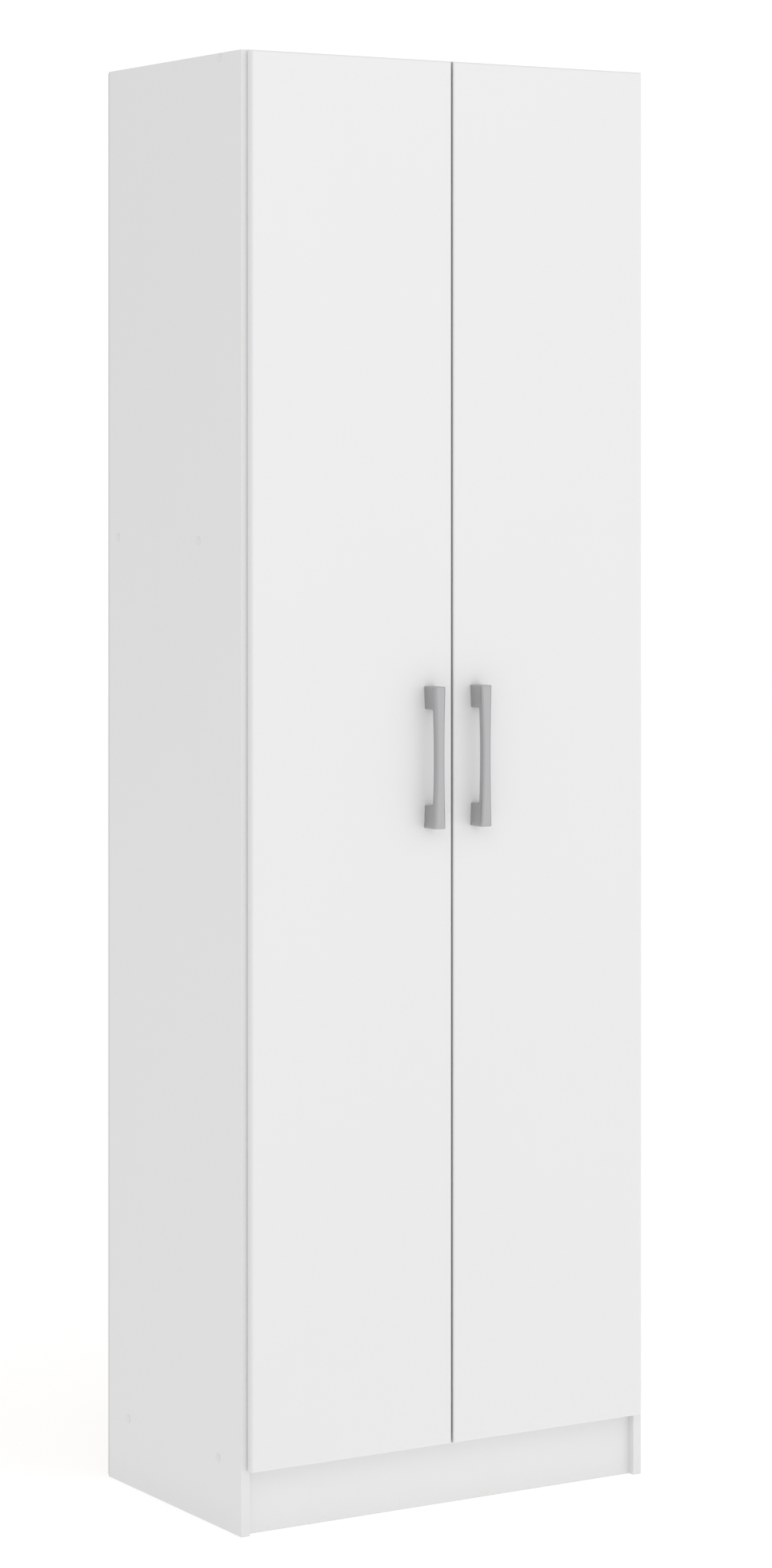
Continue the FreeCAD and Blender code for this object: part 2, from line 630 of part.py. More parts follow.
def save_hinges_and_doors():
    nodes = {
        "hinge_plates": [hinge_plate(z) for z in HINGE_HEIGHTS],
        "hinge_plate_screws": plate_screws(),
        "hinge_arms": [hinge_arm(z) for z in HINGE_HEIGHTS],
        "hinge_arm_screws": arm_screws(),
        "arm_pins": [arm_pin(z) for z in HINGE_HEIGHTS],
        "hinge_links": [hinge_link(z) for z in HINGE_HEIGHTS],
        "hinge_cups": [hinge_cup(z) for z in HINGE_HEIGHTS],
        "cup_pins": [cup_pin(z) for z in HINGE_HEIGHTS],
        "cup_screws": cup_screws(),
        "door_panel": [door_panel()],
        "handle": [handle()],
        "handle_screws": handle_screws(),
        "door_bumpers": door_bumpers(),
    }
    for name, solids in nodes.items():
        left = solids[0] if len(solids) == 1 else group(solids)
        save("left_" + name, left)
        save("right_" + name, mirrored(left))


os.makedirs("parts", exist_ok=True)
save_carcass()
save_fittings()
save_hinges_and_doors()
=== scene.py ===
import math

import bmesh
import bpy
from mathutils import Matrix, Vector


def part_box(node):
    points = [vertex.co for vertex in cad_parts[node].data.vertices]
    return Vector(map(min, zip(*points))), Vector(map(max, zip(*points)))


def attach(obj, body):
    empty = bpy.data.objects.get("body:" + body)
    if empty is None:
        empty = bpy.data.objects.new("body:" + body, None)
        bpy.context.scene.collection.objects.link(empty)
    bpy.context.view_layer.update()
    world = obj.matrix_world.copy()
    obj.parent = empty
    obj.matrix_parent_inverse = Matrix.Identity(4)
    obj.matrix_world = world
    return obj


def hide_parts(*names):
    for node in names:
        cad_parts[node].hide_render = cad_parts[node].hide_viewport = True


bl_info = {
    "name": "Pantry cabinet",
    "version": (1, 0, 0),
    "blender": (4, 5, 0),
    "location": "3D View > Sidebar > Cabinet",
    "description": "Models and finishes a two-door pantry cabinet round its packed frame",
    "category": "Object",
}

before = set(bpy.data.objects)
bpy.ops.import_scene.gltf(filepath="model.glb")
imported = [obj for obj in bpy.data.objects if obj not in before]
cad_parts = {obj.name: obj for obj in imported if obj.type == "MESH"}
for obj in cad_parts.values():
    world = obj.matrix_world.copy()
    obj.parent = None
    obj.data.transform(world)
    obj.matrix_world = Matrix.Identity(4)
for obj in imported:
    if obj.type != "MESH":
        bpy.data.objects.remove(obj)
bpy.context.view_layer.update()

MM = 0.001
SIDES = ("left", "right")
LEVELS = ("lower", "middle", "upper")
SIDE_LOW, SIDE_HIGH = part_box("left_side_panel")
DOOR_LOW, DOOR_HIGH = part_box("left_door_panel")
HANDLE_LOW, HANDLE_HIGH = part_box("left_handle")
BACK_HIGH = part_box("upper_back_panel")[1]

FACING = 0.9                    # a unit normal or run with this much along an axis counts as along it
TOUCH = 0.01 * MM               # two places this near are the same
MERGE = 0.001 * MM              # vertices this near are merged

HANDLE_BAR_RINGS = 19           # rings that draw in the bar between its posts
HANDLE_POST_RINGS = 4
HANDLE_EDGE_BAND = 1.5 * MM     # how far behind the front its long edges lie
HANDLE_CROOK_BAND = 1.2 * MM
HANDLE_POST_REACH = 5 * MM      # a first step, before the post's foot is set on the door

SCREW_SPIN = 0.7                # radians from one screw's cross to the next
CROSS_REACH = 0.56              # of the head's radius
CROSS_HALF = 0.13               # of the head's radius
CROSS_DEPTH = 0.75              # of the head's height
CROSS_TAPER = 0.55              # how much narrower the cross is at its bottom
PAD_STEPS = ((0.93, 0.25), (0.86, 0.17), (0.78, 0.11), (0.6, 0.07))     # of radius and of height
PAD_RIM = 0.4                   # of the pad's height
CAP_EDGE = 0.15 * MM

BACK_WIRES = 2600.0             # radians per metre of the screen pattern on the back
FLOOR_SIZE = 30.0
FLOOR_DROP = 0.2 * MM
FLOOR_GLOW = 0.62
LIGHT_AIM = (0.0, 0.0, 1.0)
KEY_PLACE = (2.2, -3.6, 3.0)
KEY_WIDTH = 6.0
FILL_PLACE = (-1.7, -2.5, 2.7)
FILL_WIDTH = 1.6
CAMERA_REACH = 100.0


# ---- settings ----------------------------------------------------------------------------------

def colour_setting(name, description, default):
    return bpy.props.FloatVectorProperty(name=name, description=description, default=default, size=3,
                                         min=0.0, max=1.0, subtype="COLOR")


def length_setting(name, description, default):
    return bpy.props.FloatProperty(name=name, description=description, default=default, min=0.0,
                                   unit="LENGTH", precision=5)


class CabinetColours(bpy.types.PropertyGroup):
    carcass: colour_setting("Carcass foil", "White foil of the side panels, top, bottom and plinth",
                            (0.80, 0.80, 0.797))
    door: colour_setting("Door foil", "White foil wrapped round the doors", (0.82, 0.82, 0.818))
    shelf: colour_setting("Shelf foil", "White foil of the shelves", (0.80, 0.80, 0.795))
    fibre: colour_setting("Fibreboard", "Bare fibreboard where an edge has no foil", (0.47, 0.34, 0.22))
    lacquer: colour_setting("Back lacquer", "Lacquered inner face of the back panels", (0.74, 0.74, 0.735))
    hardboard: colour_setting("Back board", "Bare rear face of the back panels", (0.56, 0.46, 0.35))
    handle: colour_setting("Handle metal", "Satin grey of the handles", (0.37, 0.37, 0.375))
    nickel: colour_setting("Nickel plate", "Plated steel of the hinges", (0.66, 0.65, 0.63))
    zinc: colour_setting("Zinc plate", "Plated steel of screws, nails, pins and brackets", (0.56, 0.57, 0.58))
    plastic: colour_setting("White plastic", "Corner blocks", (0.78, 0.78, 0.77))
    pad: colour_setting("Bumper pad", "Soft pads on the doors", (0.72, 0.72, 0.70))
    beech: colour_setting("Beech", "Dowels", (0.60, 0.42, 0.25))


class CabinetSizes(bpy.types.PropertyGroup):
    handle_post: length_setting("Handle post", "Height of each square post", 28.0 * MM)
    handle_bar: length_setting("Handle bar", "Thickness of the bar", 8.0 * MM)
    handle_waist: length_setting("Handle waist", "Width of the bar at its middle", 12.5 * MM)
    handle_bow: length_setting("Handle bow", "How far the middle of the bar stands out past its ends", 1.0 * MM)
    handle_crook: length_setting("Handle crook", "Radius between post and bar", 3.0 * MM)
    handle_edge: length_setting("Handle edge", "Rounding of the handle's outer edges", 0.8 * MM)
    handle_crown: length_setting("Handle crown", "Rounding of the bar's long front edges", 3.6 * MM)
    stamped_edge: length_setting("Stamped edge", "Rounding of pressed steel edges", 0.25 * MM)
    moulded_edge: length_setting("Moulded edge", "Rounding of plastic edges", 0.6 * MM)


class CabinetStage(bpy.types.PropertyGroup):
    backdrop: bpy.props.FloatProperty(
        name="Backdrop", description="Brightness of the white backdrop as it is seen", default=1.05, min=0.0)
    sky: bpy.props.FloatProperty(
        name="Sky", description="Brightness of the white surroundings as a light", default=0.70, min=0.0)
    key_power: bpy.props.FloatProperty(
        name="Key light", description="Power of the soft light at the right", default=43.0, min=0.0, unit="POWER")
    fill_power: bpy.props.FloatProperty(
        name="Fill light", description="Power of the soft light at the left", default=9.5, min=0.0, unit="POWER")
    floor: colour_setting("Floor", "Colour of the plain pale floor", (0.50, 0.50, 0.50))
    camera_place: bpy.props.FloatVectorProperty(
        name="Camera", description="Where the camera stands", size=3, default=(-2.716, -4.435, 1.311),
        subtype="TRANSLATION", unit="LENGTH")
    camera_turn: bpy.props.FloatProperty(
        name="Camera turn", description="How far the camera looks to the right of straight on",
        default=math.radians(31.53), subtype="ANGLE")
    lens: bpy.props.FloatProperty(
        name="Lens", description="Focal length in millimetres", default=93.3, min=1.0)
    rise: bpy.props.FloatProperty(
        name="Rise", description="Vertical shift of the lens, which keeps the uprights upright", default=-0.2108)


# ---- shader maths ------------------------------------------------------------------------------

class Signal:
    """A socket of a material, so that shader maths reads as an expression."""

    def __init__(self, nodes, socket):
        self.nodes = nodes
        self.socket = socket

    def maths(self, operation, *others):
        return self.nodes.node("ShaderNodeMath", {"operation": operation}, [self, *others])

    def __add__(self, other):
        return self.maths("ADD", other)

    __radd__ = __add__

    def __sub__(self, other):
        return self.maths("SUBTRACT", other)

    def __rsub__(self, other):
        return self.nodes.node("ShaderNodeMath", {"operation": "SUBTRACT"}, [other, self])

    def __mul__(self, other):
        return self.maths("MULTIPLY", other)

    __rmul__ = __mul__

    def above(self, value):
        return self.maths("GREATER_THAN", value)

    def below(self, value):
        return self.maths("LESS_THAN", value)

    def size(self):
        return self.maths("ABSOLUTE")

    def most(self, other):
        return self.maths("MAXIMUM", other)

    def least(self, other):
        return self.maths("MINIMUM", other)

    def power(self, exponent):
        return self.maths("POWER", exponent)


class NodeMaker:
    """Adds nodes to the tree of a material or of the world."""

    def __init__(self, tree):
        self.tree = tree

    def node(self, kind, settings, inputs, output=0):
        """Adds a node: settings first, then its sockets' values or links. Gives one output, or the node."""
        made = self.tree.nodes.new(kind)
        for name, value in settings.items():
            setattr(made, name, value)
        pairs = inputs.items() if isinstance(inputs, dict) else enumerate(inputs)
        for key, value in pairs:
            if isinstance(value, Signal):
                self.tree.links.new(value.socket, made.inputs[key])
            else:
                made.inputs[key].default_value = value
        return made if output is None else Signal(self, made.outputs[output])


class Paint(NodeMaker):
    """One procedural material on object coordinates."""

    def __init__(self, name, **constants):
        self.material = bpy.data.materials.new(name)
        self.material.use_nodes = True
        super().__init__(self.material.node_tree)
        self.tree.nodes.clear()
        self.shader = self.node("ShaderNodeBsdfPrincipled", {}, {}, None)
        output = self.node("ShaderNodeOutputMaterial", {}, {}, None)
        self.tree.links.new(self.shader.outputs[0], output.inputs["Surface"])
        for socket, value in constants.items():
            self.shader.inputs[socket.replace("_", " ")].default_value = value
        self.place = self.node("ShaderNodeTexCoord", {}, {}, "Object")
        split = self.node("ShaderNodeSeparateXYZ", {}, [self.place], None)
        self.x, self.y, self.z = (Signal(self, split.outputs[axis]) for axis in "XYZ")

    def noise(self, scale, detail=2.0, stretch=(1.0, 1.0, 1.0), roughness=0.5):
        """Cloudy noise from 0 to 1; scale is in blobs per metre, and stretch multiplies it along each axis."""
        place = self.node("ShaderNodeMapping", {}, {"Vector": self.place, "Scale": stretch})
        return self.node("ShaderNodeTexNoise", {"noise_dimensions": "3D"},
                         {"Vector": place, "Scale": scale, "Detail": detail, "Roughness": roughness}, "Fac")

    def specks(self, scale, stretch=(1.0, 1.0, 1.0)):
        """Distance to the nearest of many scattered points."""
        place = self.node("ShaderNodeMapping", {}, {"Vector": self.place, "Scale": stretch})
        return self.node("ShaderNodeTexVoronoi", {"feature": "F1"}, {"Vector": place, "Scale": scale}, "Distance")

    def ramp(self, value, low, high):
        """0 below low, 1 above high, smooth between."""
        return self.node("ShaderNodeMapRange", {"interpolation_type": "SMOOTHSTEP"},
                         {"Value": value, "From Min": low, "From Max": high}, "Result")

    def blend(self, share, first, second):
        """A colour between two colours."""
        return self.node("ShaderNodeMix", {"data_type": "RGBA"}, {0: share, 6: first, 7: second}, 2)

    def shade(self, colour, amount):
        """A fixed colour made darker or lighter by a value near 1."""
        tint = self.node("ShaderNodeCombineColor", {}, [amount, amount, amount])
        return self.node("ShaderNodeMix", {"data_type": "RGBA", "blend_type": "MULTIPLY"},
                         {0: 1.0, 6: colour, 7: tint}, 2)

    def feed(self, socket, value):
        self.tree.links.new(value.socket, self.shader.inputs[socket])

    def relief(self, height, depth, strength=1.0):
        """Bump from a height between 0 and 1, which stands for a depth in metres."""
        bump = self.node("ShaderNodeBump", {}, {"Height": height, "Distance": depth, "Strength": strength})
        self.feed("Normal", bump)


def rgba(colour, factor=1.0):
    return (colour[0] * factor, colour[1] * factor, colour[2] * factor, 1.0)


def fibre_colour(paint, colour):
    """Bare fibreboard: short pale and dark fibres."""
    fibres = paint.noise(900.0, 4.0, (1.0, 1.0, 0.35), 0.65)
    cloud = paint.noise(60.0, 2.0)
    return paint.shade(rgba(colour), 0.72 + fibres * 0.36 + cloud * 0.14)


# ---- finishes ----------------------------------------------------------------------------------

def foil_finish(name, colour, fibre, bare=None, lines_and_shade=None, scuff_and_darken_height=None, rough=0.42):
    """White foil on fibreboard. bare gives a mask of the edges without foil, lines_and_shade a mask of glue lines
    and folds, which also carries painted shade where one is passed.
    """
    paint = Paint(name, Coat_Roughness=0.28, Specular_IOR_Level=0.42)
    cloud = paint.noise(2.6, 3.0)
    grain = paint.noise(38.0, 3.0, (1.0, 1.0, 0.12))
    tone = 0.988 + cloud * 0.016 + grain * 0.008
    roughness = rough + (cloud - 0.5) * 0.10 + (grain - 0.5) * 0.05
    if scuff_and_darken_height is not None:
        streaks = paint.ramp(paint.noise(55.0, 5.0, (1.0, 1.0, 0.35), 0.7), 0.60, 0.78)
        low = 1.0 - paint.ramp(paint.z, 0.0, scuff_and_darken_height)
        # the streaks are scuffs; the last term only makes the lowest part darker towards the bottom
        tone = tone - streaks * low * 0.05 - low.power(6.0) * 0.03
        roughness = roughness + streaks * low * 0.15
    if lines_and_shade is not None:
        # darkens glue lines and folds, and paints the shade that some of these masks carry
        line = lines_and_shade(paint)
        tone = tone - line * 0.10
    surface = paint.shade(rgba(colour), tone)
    peel = paint.noise(750.0, 2.0)
    height = peel
    if bare is not None:
        mask = bare(paint)
        surface = paint.blend(mask, surface, fibre_colour(paint, fibre))
        roughness = roughness + mask * 0.4
        fibres = paint.noise(1400.0, 3.0)
        height = peel + mask * fibres * 4.0
    paint.feed("Base Color", surface)
    paint.feed("Roughness", roughness)
    paint.feed("Coat Weight", 0.10 + cloud * 0.05)
    paint.relief(height, 0.00002, 0.35)
    return paint.material


def panel_edges(paint):
    """The rear edge and the foot of a side panel, which have no foil."""
    rear = paint.y.above(SIDE_HIGH.y - 0.1 * MM)
    return rear.most(paint.z.below(0.1 * MM))


def rear_edge(paint):
    return paint.y.above(SIDE_HIGH.y - 0.1 * MM)


def front_strip_line(paint):
    """The glue line where a 0.5 mm edge strip meets the faces at the carcass's front."""
    return 1.0 - paint.ramp((paint.y - (SIDE_LOW.y + 0.75 * MM)).size(), 0.05 * MM, 0.22 * MM)


def door_back_seam(paint):
    """The fold where the door's wrapped foil ends, a few millimetres in on the rear face."""
    inset = 6.0 * MM
    rise = ((paint.z - (DOOR_LOW.z + DOOR_HIGH.z) / 2).size() - (DOOR_HIGH.z - DOOR_LOW.z) / 2 + inset).size()
    run = ((paint.x.size() - (DOOR_HIGH.x + DOOR_LOW.x) / -2).size() - (DOOR_HIGH.x - DOOR_LOW.x) / 2 + inset).size()
    near = rise.least(run)
    behind = paint.y.above(DOOR_HIGH.y - 0.3 * MM)
    return (1.0 - paint.ramp(near, 0.1 * MM, 0.35 * MM)) * behind


def rear_joint_shade_and_glue_line(paint):
    """Painted shade over the rear few millimetres of a side panel, where it meets the back, with the glue line of
    its front edge strip.
    """
    # painted shade: the panel darkens over its rear few millimetres, in place of the shadow where it meets the back
    joint_shade = paint.ramp(paint.y, SIDE_HIGH.y - 5.0 * MM, SIDE_HIGH.y - 2.0 * MM)
    return (joint_shade * 1.1).most(front_strip_line(paint) * 0.5)


def door_seam_and_gap_shade(paint):
    """The fold on the rear face, and painted shade deep on the closing edges, where the gap between the doors is
    shaded.
    """
    # painted shade: the closing edges darken behind their front rounding, as if shaded by the narrow gap
    near = 1.0 - paint.ramp(paint.x.size(), -DOOR_HIGH.x + 0.3 * MM, -DOOR_HIGH.x + 1.2 * MM)
    deep = paint.ramp(paint.y, DOOR_LOW.y + 1.6 * MM, DOOR_LOW.y + 3.5 * MM)
    return door_back_seam(paint).most(near * deep * 2.8)


def back_finish(name, lacquer, board):
    """Thin back board: lacquered white inside and at its cut edges, bare with a screen pattern behind."""
    paint = Paint(name, Specular_IOR_Level=0.4)
    behind = paint.ramp(paint.y, BACK_HIGH.y - 0.12 * MM, BACK_HIGH.y - 0.04 * MM)
    cloud = paint.noise(5.0, 4.0)
    fibres = paint.noise(420.0, 4.0, (1.0, 1.0, 1.0), 0.7)
    flecks = paint.ramp(paint.specks(260.0, (1.0, 1.0, 0.4)), 0.0, 0.28)
    bare = paint.shade(rgba(board), 0.74 + cloud * 0.18 + fibres * 0.22 + flecks * 0.06)
    white = paint.shade(rgba(lacquer), 0.985 + cloud * 0.02)
    paint.feed("Base Color", paint.blend(behind, white, bare))
    paint.feed("Roughness", 0.40 + behind * 0.42 + (fibres - 0.5) * 0.08)
    wires = ((paint.x * BACK_WIRES).maths("SINE") + (paint.z * BACK_WIRES).maths("SINE")) * 0.25 + 0.5
    paint.relief(behind * (wires * 0.7 + fibres * 0.6) + paint.noise(700.0) * 0.1, 0.00012, 0.6)
    return paint.material


def handle_finish(name, colour):
    """Satin grey metal, brushed along the bar."""
    paint = Paint(name, Metallic=1.0)
    lines = paint.noise(70.0, 5.0, (28.0, 28.0, 0.6), 0.6)
    cloud = paint.noise(22.0, 3.0)
    rubbed = paint.ramp(paint.noise(90.0, 4.0, (1.0, 1.0, 0.3)), 0.62, 0.8)
    paint.feed("Base Color", paint.shade(rgba(colour), 0.90 + lines * 0.17 + cloud * 0.04 + rubbed * 0.04))
    paint.feed("Roughness", 0.40 + (lines - 0.5) * 0.20 + (cloud - 0.5) * 0.08 - rubbed * 0.05)
    paint.relief(lines, 0.00003, 0.5)
    return paint.material


def plated_finish(name, colour, rough, yellowing=0.0):
    """Plated steel: a bright skin with fine scratches, dull patches and a faint passivation tint."""
    paint = Paint(name, Metallic=1.0)
    cloud = paint.noise(45.0, 2.0)
    scratch = paint.ramp(paint.noise(1500.0, 2.0, (0.06, 1.0, 1.0)), 0.66, 0.74)
    dull = paint.ramp(paint.noise(110.0, 3.0), 0.45, 0.8)
    tint = (colour[0], colour[1] * (1 - yellowing * 0.3), colour[2] * (1 - yellowing))
    body = paint.blend(paint.ramp(cloud, 0.4, 0.7), rgba(colour), rgba(tint))
    paint.feed("Base Color", paint.shade(body, 0.96 + cloud * 0.05 - dull * 0.03))
    paint.feed("Roughness", rough + dull * 0.05 + scratch * 0.08)
    paint.relief(scratch * 0.5 + dull * 0.2, 0.000004, 0.3)
    return paint.material


def moulded_finish(name, colour, rough):
    """Moulded plastic with a fine spark-eroded grain."""
    paint = Paint(name, Specular_IOR_Level=0.45)
    grain = paint.noise(2600.0, 2.0)
    cloud = paint.noise(90.0, 3.0)
    paint.feed("Base Color", paint.shade(rgba(colour), 0.97 + cloud * 0.03 + grain * 0.015))
    paint.feed("Roughness", rough + (cloud - 0.5) * 0.08 + (grain - 0.5) * 0.06)
    paint.relief(grain, 0.00003, 0.5)
    return paint.material


def beech_finish(name, colour):
    """Beech dowels with short pores along the X axis."""
    paint = Paint(name, Specular_IOR_Level=0.3)
    grain = paint.noise(260.0, 4.0, (0.08, 1.0, 1.0), 0.6)
    pores = paint.ramp(paint.specks(1500.0, (0.15, 1.0, 1.0)), 0.0, 0.25)
    paint.feed("Base Color", paint.shade(rgba(colour), 0.75 + grain * 0.3 + pores * 0.08))
    paint.feed("Roughness", 0.6 + grain * 0.15)
    paint.relief(grain * 0.5 + pores * 0.5, 0.0001, 0.5)
    return paint.material


def finish(name):
    """The finish of that name, made when it is first asked for."""
    found = bpy.data.materials.get(name)
    if found is not None:
        return found
    c = bpy.context.scene.cabinet_colours
    makers = {
        "side_foil": lambda: foil_finish(name, c.carcass, c.fibre, panel_edges, rear_joint_shade_and_glue_line, 0.12),
        "cross_foil": lambda: foil_finish(name, c.carcass, c.fibre, rear_edge, front_strip_line),
        "plinth_foil": lambda: foil_finish(name, c.carcass, c.fibre, lambda p: p.z.below(0.1 * MM), None, 0.08),
        "shelf_foil": lambda: foil_finish(name, c.shelf, c.fibre, rear_edge),
        "door_foil": lambda: foil_finish(name, c.door, c.fibre, None, door_seam_and_gap_shade, rough=0.38),
        "back_board": lambda: back_finish(name, c.lacquer, c.hardboard),
        "handle_metal": lambda: handle_finish(name, c.handle),
        "nickel_plate": lambda: plated_finish(name, c.nickel, 0.24),
        "zinc_plate": lambda: plated_finish(name, c.zinc, 0.34, 0.12),
        "white_plastic": lambda: moulded_finish(name, c.plastic, 0.42),
        "cap_film": lambda: moulded_finish(name, [share * 0.97 for share in c.carcass], 0.40),
        "bumper_pad": lambda: moulded_finish(name, c.pad, 0.3),
        "beech": lambda: beech_finish(name, c.beech),
    }
    return makers[name]()


def dress(node, name):
    """Gives a CAD node a finish."""
    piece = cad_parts[node]
    piece.data.materials.clear()
    piece.data.materials.append(finish(name))


# ---- modelling ---------------------------------------------------------------------------------

def deselect():
    bpy.ops.object.select_all(action="DESELECT")


def added(name):
    """Names the primitive just added and puts its place into its mesh."""
    piece = bpy.context.active_object
    piece.name = name
    piece.data.name = name
    bpy.ops.object.transform_apply(location=True, rotation=True, scale=True)
    return piece


def block(name, low, high):
    """A box primitive between two corners, the start of a piece."""
    deselect()
    low, high = Vector(low), Vector(high)
    bpy.ops.mesh.primitive_cube_add(size=1.0, location=(low + high) / 2)
    bpy.context.active_object.scale = high - low
    return added(name)


def drum(name, radius, start, end, vertices=32):
    """A cylinder primitive between two points, the start of a piece."""
    deselect()
    run = Vector(end) - Vector(start)
    bpy.ops.mesh.primitive_cylinder_add(vertices=vertices, radius=radius, depth=run.length,
                                        location=(Vector(start) + Vector(end)) / 2)
    bpy.context.active_object.rotation_euler = run.to_track_quat("Z", "Y").to_euler()
    return added(name)


def pick(piece, mode, test):
    """In edit mode, selects the verts, edges or faces whose centre and normal pass a test."""
    bpy.ops.mesh.select_mode(type=mode)
    bpy.ops.mesh.select_all(action="DESELECT")
    mesh = bmesh.from_edit_mesh(piece.data)
    if mode == "FACE":
        for face in mesh.faces:
            face.select_set(test(face.calc_center_median(), face.normal))
    elif mode == "EDGE":
        for edge in mesh.edges:
            a, b = edge.verts[0].co, edge.verts[1].co
            edge.select_set(test((a + b) / 2, (b - a).normalized()))
    else:
        for vert in mesh.verts:
            vert.select_set(test(vert.co, vert.normal))
    mesh.select_flush_mode()
    bmesh.update_edit_mesh(piece.data)


def edit(piece):
    deselect()
    piece.select_set(True)
    bpy.context.view_layer.objects.active = piece
    bpy.ops.object.mode_set(mode="EDIT")


def done():
    bpy.ops.object.mode_set(mode="OBJECT")


def modified(piece, kind, **settings):
    """Adds a modifier and applies it."""
    deselect()
    piece.select_set(True)
    bpy.context.view_layer.objects.active = piece
    modifier = piece.modifiers.new(kind.title(), kind)
    for name, value in settings.items():
        setattr(modifier, name, value)
    bpy.ops.object.modifier_apply(modifier=modifier.name)
    return piece


def rounded(piece, width, segments=2, angle=35.0):
    """Rounds every sharp edge."""
    return modified(piece, "BEVEL", width=width, segments=segments, limit_method="ANGLE",
                    angle_limit=math.radians(angle), use_clamp_overlap=True, miter_outer="MITER_ARC")


def cut(piece, cutter, operation="DIFFERENCE"):
    """Takes one shape from another, or joins it on, and removes the tool."""
    modified(piece, "BOOLEAN", object=cutter, operation=operation, solver="EXACT")
    bpy.data.objects.remove(cutter)
    return piece


def joined(name, pieces):
    """Several meshes as one piece."""
    deselect()
    for piece in pieces:
        piece.select_set(True)
    bpy.context.view_layer.objects.active = pieces[0]
    if len(pieces) > 1:
        bpy.ops.object.join()
    pieces[0].name = name
    pieces[0].data.name = name
    return pieces[0]


def copied(piece, name, matrix):
    """A copy with its own mesh, moved in its mesh."""
    twin = piece.copy()
    twin.data = piece.data.copy()
    twin.name = name
    bpy.context.scene.collection.objects.link(twin)
    twin.data.transform(matrix)
    return twin


def smooth(piece, angle=40.0):
    deselect()
    piece.select_set(True)
    bpy.context.view_layer.objects.active = piece
    bpy.ops.object.shade_smooth_by_angle(angle=math.radians(angle))


def place(piece, body, slot, finish_name, *nodes):
    """Shades a finished piece, gives it its finish and body, and hides the CAD nodes that it stands for."""
    smooth(piece)
    piece.data.materials.clear()
    piece.data.materials.append(finish(finish_name))
    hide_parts(*nodes)
    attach(piece, body)


def merged_copy(node, name):
    """A CAD node's mesh as a new piece, with its loose triangles merged into clean faces."""
    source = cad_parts[node]
    piece = bpy.data.objects.new(name, source.data.copy())
    bpy.context.scene.collection.objects.link(piece)
    edit(piece)
    bpy.ops.mesh.select_all(action="SELECT")
    bpy.ops.mesh.remove_doubles(threshold=MERGE)
    bpy.ops.mesh.dissolve_limited(angle_limit=math.radians(0.5))
    bpy.ops.mesh.customdata_custom_splitnormals_clear()
    done()
    return piece


def solids(node):
    """The (lowest, highest) corners of each separate solid of a CAD node, from the bottom up."""
    mesh = bmesh.new()
    mesh.from_mesh(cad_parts[node].data)
    bmesh.ops.remove_doubles(mesh, verts=mesh.verts, dist=MERGE)
    mesh.verts.ensure_lookup_table()
    seen, boxes = set(), []
    for start in mesh.verts:
        if start.index in seen:
            continue
        todo, island = [start], []
        seen.add(start.index)
        while todo:
            vert = todo.pop()
            island.append(vert.co.copy())
            for edge in vert.link_edges:
                other = edge.other_vert(vert)
                if other.index not in seen:
                    seen.add(other.index)
                    todo.append(other)
        boxes.append((Vector(map(min, zip(*island))), Vector(map(max, zip(*island)))))
    mesh.free()
    return sorted(boxes, key=lambda pair: tuple(round(v, 5) for v in (pair[0].z, pair[0].x, pair[0].y)))


# ---- operators ---------------------------------------------------------------------------------

class CABINET_OT_boards(bpy.types.Operator):
    """Finish the side panels, cross boards, plinth, shelves, back panels and dowels"""
    bl_idname = "cabinet.boards"
    bl_label = "Boards"

    def execute(self, context):
        for side in SIDES:
            dress(side + "_side_panel", "side_foil")
        for node in ("top_panel", "bottom_panel"):
            dress(node, "cross_foil")
        dress("plinth_board", "plinth_foil")
        for node in ("fixed_shelf", *(level + "_shelf" for level in LEVELS)):
            dress(node, "shelf_foil")
        for node in ("upper_back_panel", "lower_back_panel"):
            dress(node, "back_board")
        dress("dowels", "beech")
        return {"FINISHED"}


class CABINET_OT_doors(bpy.types.Operator):
    """Finish the two doors"""
    bl_idname = "cabinet.doors"
    bl_label = "Doors"

    def execute(self, context):
        for side in SIDES:
            dress(side + "_door_panel", "door_foil")
        return {"FINISHED"}


